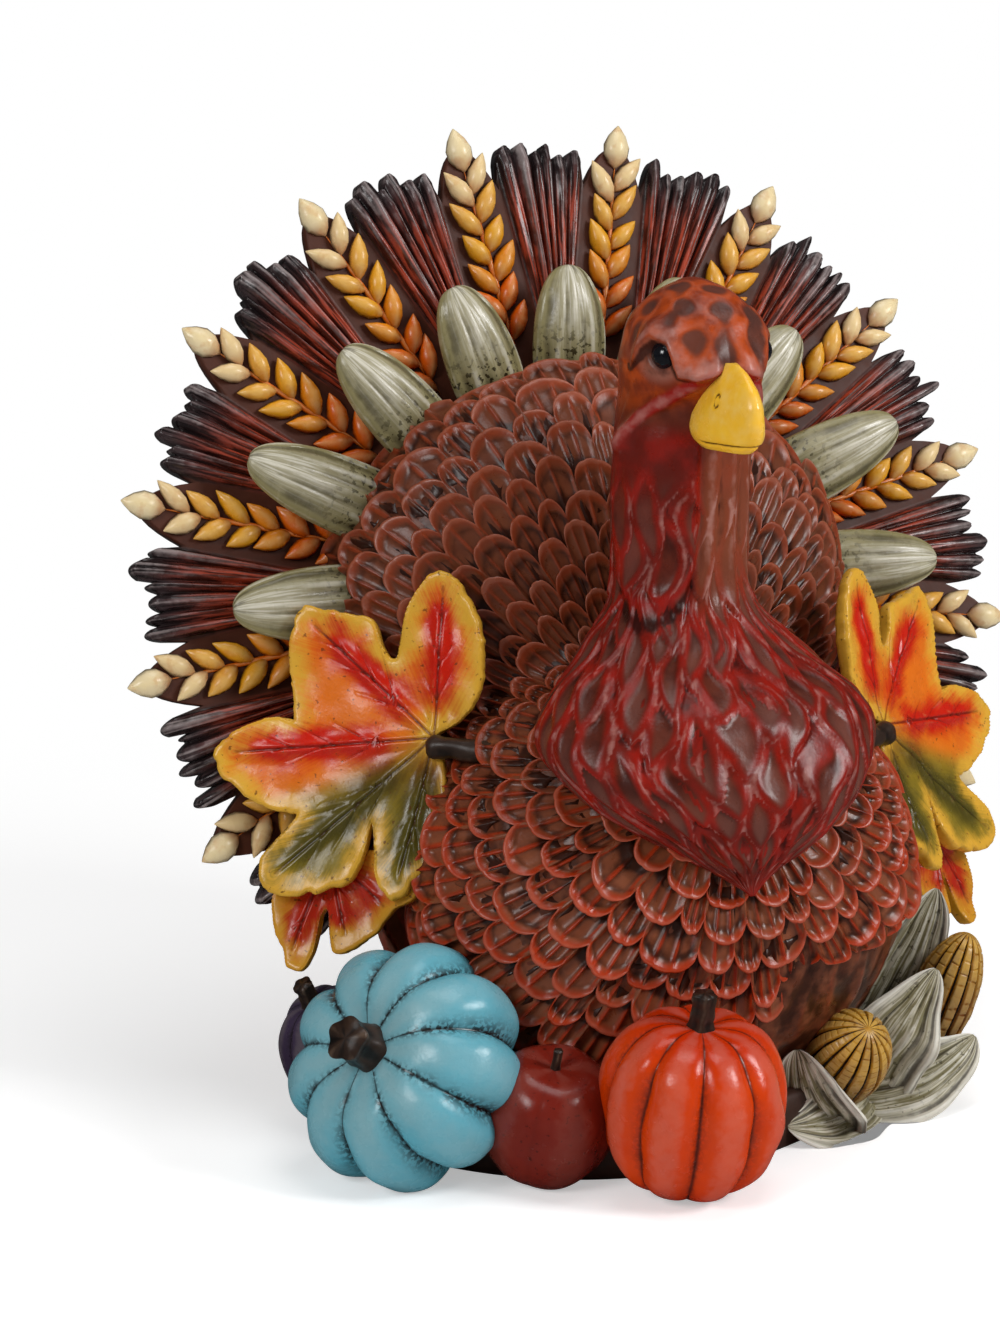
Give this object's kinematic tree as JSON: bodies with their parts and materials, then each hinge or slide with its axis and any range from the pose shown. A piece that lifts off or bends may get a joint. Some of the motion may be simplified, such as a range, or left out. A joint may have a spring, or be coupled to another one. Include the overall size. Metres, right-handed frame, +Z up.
{
  "type": "turkey figurine",
  "caption": "Painted resin turkey with a fluted tail fan set with wheat ears, scale feathers, maple leaves, and pumpkins, an apple and corn round its base.",
  "frame": {"origin": "on the floor, in the flat underside, below the middle of the figure", "axes": "+Z up, -Y the way the turkey faces, +X to the right of someone who faces it"},
  "size_m": [0.2222, 0.1553, 0.2157],
  "materials": {
    "eye_black": "gloss paint",
    "beak_yellow": "satin varnish",
    "plumage_red": "satin varnish",
    "plumage_brown": "satin varnish",
    "base_brown": "satin paint",
    "tail_brown": "satin varnish",
    "pumpkin_blue": "satin varnish",
    "pumpkin_orange": "satin varnish",
    "gourd_purple": "satin varnish",
    "apple_red": "satin varnish",
    "corn_gold": "satin varnish",
    "maple_yellow": "satin varnish",
    "maple_orange": "satin varnish",
    "stem_brown": "satin paint",
    "husk_grey": "satin varnish",
    "petal_olive": "satin varnish",
    "wheat_gold": "satin varnish"
  },
  "bodies": {
    "root": {"apple": "apple_red", "apple_stem": "stem_brown", "base_plinth": "base_brown", "beak": "beak_yellow", "blue_pumpkin": "pumpkin_blue", "blue_pumpkin_stem": "stem_brown", "body": "plumage_brown", "corn_cob_back": "corn_gold", "corn_cob_front": "corn_gold", "corn_husk_back": "husk_grey", "corn_husk_left": "husk_grey", "corn_husk_low": "husk_grey", "corn_husk_middle": "husk_grey", "corn_husk_right": "husk_grey", "eye_left": "eye_black", "eye_right": "eye_black", "head_and_neck": "plumage_red", "husk_petal_1": "petal_olive", "husk_petal_2": "petal_olive", "husk_petal_3": "petal_olive", "husk_petal_4": "petal_olive", "husk_petal_5": "petal_olive", "husk_petal_6": "petal_olive", "husk_petal_7": "petal_olive", "husk_petal_8": "petal_olive", "husk_petal_9": "petal_olive", "leaf_stalk_left": "stem_brown", "leaf_stalk_right": "stem_brown", "maple_leaf_left": "maple_yellow", "maple_leaf_right": "maple_yellow", "orange_pumpkin": "pumpkin_orange", "orange_pumpkin_stem": "stem_brown", "purple_gourd": "gourd_purple", "purple_gourd_stem": "stem_brown", "rump": "plumage_brown", "small_leaf_left": "maple_orange", "small_leaf_right": "maple_orange", "tail_fan": "tail_brown", "wheat_ear_1": "wheat_gold", "wheat_ear_10": "wheat_gold", "wheat_ear_11": "wheat_gold", "wheat_ear_12": "wheat_gold", "wheat_ear_2": "wheat_gold", "wheat_ear_3": "wheat_gold", "wheat_ear_4": "wheat_gold", "wheat_ear_5": "wheat_gold", "wheat_ear_6": "wheat_gold", "wheat_ear_7": "wheat_gold", "wheat_ear_8": "wheat_gold", "wheat_ear_9": "wheat_gold"}
  },
  "joints": []
}
